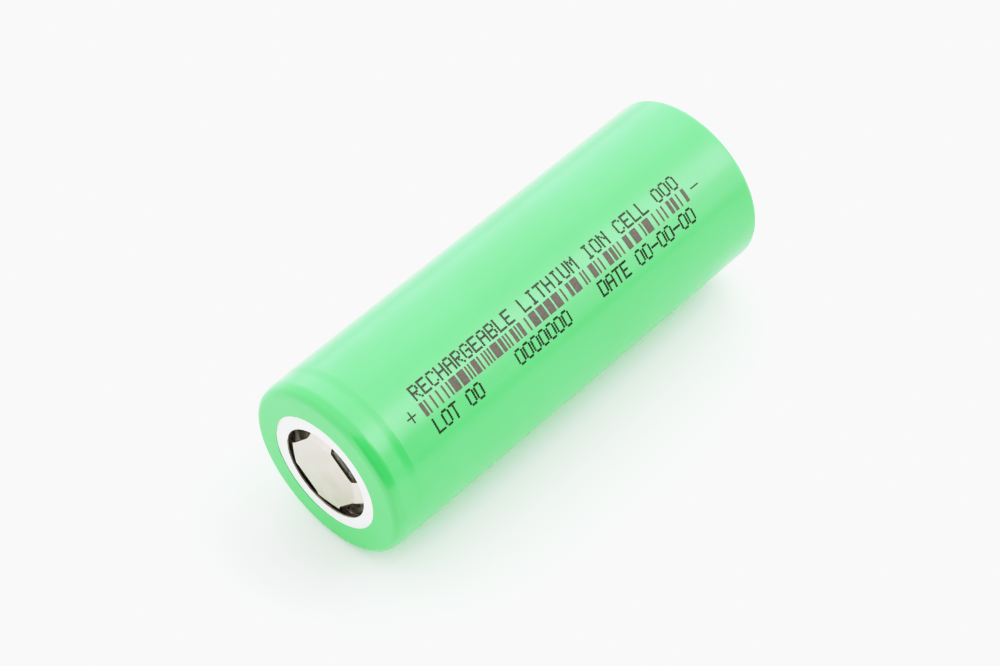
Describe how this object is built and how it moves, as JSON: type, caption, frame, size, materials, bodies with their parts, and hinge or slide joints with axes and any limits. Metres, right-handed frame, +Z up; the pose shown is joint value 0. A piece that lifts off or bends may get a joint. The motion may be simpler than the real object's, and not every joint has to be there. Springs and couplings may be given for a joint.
{
  "type": "cylindrical battery cell",
  "caption": "Flat-top cylindrical rechargeable cell lying on its side: shrink-sleeved steel can with a vented positive cap, white washer and wound electrode roll.",
  "frame": {"origin": "middle of the cell's axis, which is the centre of its bounding box", "axes": "the cell lies on its side with its axis along Y; the positive terminal faces -Y, the negative terminal faces +Y, and +Z is up"},
  "size_m": [0.0262, 0.071, 0.026],
  "materials": {
    "sleeve_film": "satin",
    "washer": "satin",
    "can_steel": "satin",
    "gasket_plastic": "satin",
    "cap_steel": "satin",
    "ptc_metal": "satin",
    "vent_metal": "satin",
    "ring_plastic": "satin",
    "plate_metal": "satin",
    "cathode_coating": "matte",
    "anode_coating": "matte",
    "separator_film": "matte",
    "closing_tape_film": "gloss",
    "tab_tape_film": "gloss",
    "positive_tab_metal": "satin",
    "negative_tab_metal": "satin",
    "disc_fibre": "matte"
  },
  "bodies": {
    "root": {"sleeve": "sleeve_film", "top_washer": "washer", "can": "can_steel", "sealing_gasket": "gasket_plastic", "positive_cap": "cap_steel", "ptc_ring": "ptc_metal", "vent_disc": "vent_metal", "cid_insulator": "ring_plastic", "orifice_plate": "plate_metal", "positive_tab": "positive_tab_metal", "positive_tab_tape": "tab_tape_film", "upper_insulator": "disc_fibre", "separator_inner": "separator_film", "anode_sheet": "anode_coating", "separator_outer": "separator_film", "cathode_sheet": "cathode_coating", "roll_closing_tape": "closing_tape_film", "negative_tab": "negative_tab_metal", "negative_tab_tape": "tab_tape_film", "lower_insulator": "disc_fibre"}
  },
  "joints": []
}
